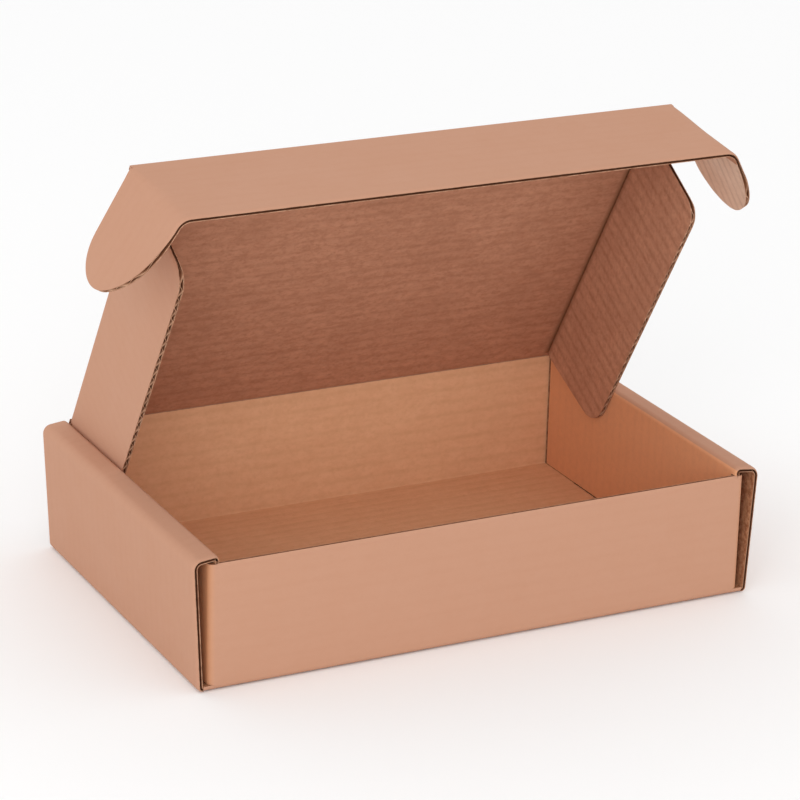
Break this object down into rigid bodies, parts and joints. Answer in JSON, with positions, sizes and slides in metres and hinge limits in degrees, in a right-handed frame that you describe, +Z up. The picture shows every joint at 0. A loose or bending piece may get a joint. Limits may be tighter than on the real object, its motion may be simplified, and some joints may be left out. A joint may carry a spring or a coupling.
{
  "type": "corrugated mailer box",
  "caption": "Open kraft corrugated mailer tray with rolled double side walls, a hinged lid with side flaps, and a front tuck flap with rounded ears.",
  "frame": {"origin": "on the table under the middle of the tray's base", "axes": "+Z up, the front of the box towards -Y, +X to the right seen from the front"},
  "size_m": [0.3814, 0.211, 0.2531],
  "materials": {
    "kraft_board": "matt brown kraft liner with fine fibres and faint flute lines, raw brown flute ends on cut edges"
  },
  "bodies": {
    "tray": {"tray": "kraft_board"},
    "lid": {"lid": "kraft_board"},
    "tuck_flap": {"tuck_flap": "kraft_board"},
    "left_side_flap": {"left_side_flap": "kraft_board"},
    "right_side_flap": {"right_side_flap": "kraft_board"},
    "left_ear": {"left_ear": "kraft_board"},
    "right_ear": {"right_ear": "kraft_board"}
  },
  "joints": [
    {"name": "lid_hinge", "type": "hinge", "parent": "tray", "child": "lid", "pos_m": [0, 0.1041, 0.0714], "axis": [-1, 0, 0], "range_deg": [-50, 121.5]},
    {"name": "tuck_flap_hinge", "type": "hinge", "parent": "lid", "child": "tuck_flap", "pos_m": [0, -0.00641, 0.25173], "axis": [-1, 0, 0], "range_deg": [-24, 66]},
    {"name": "right_side_flap_hinge", "type": "hinge", "parent": "lid", "child": "right_side_flap", "pos_m": [0.1494, 0.05066, 0.15593], "axis": [0, 0.5225, -0.8526], "range_deg": [0, 80]},
    {"name": "left_side_flap_hinge", "type": "hinge", "parent": "lid", "child": "left_side_flap", "pos_m": [-0.1494, 0.05066, 0.15593], "axis": [0, -0.5225, 0.8526], "range_deg": [0, 80]},
    {"name": "right_ear_hinge", "type": "hinge", "parent": "tuck_flap", "child": "right_ear", "pos_m": [0.1602, -0.00641, 0.25173], "axis": [0, 0.9914, 0.1305], "range_deg": [-60, 30]},
    {"name": "left_ear_hinge", "type": "hinge", "parent": "tuck_flap", "child": "left_ear", "pos_m": [-0.1602, -0.00641, 0.25173], "axis": [0, -0.9914, -0.1305], "range_deg": [-60, 30]}
  ]
}
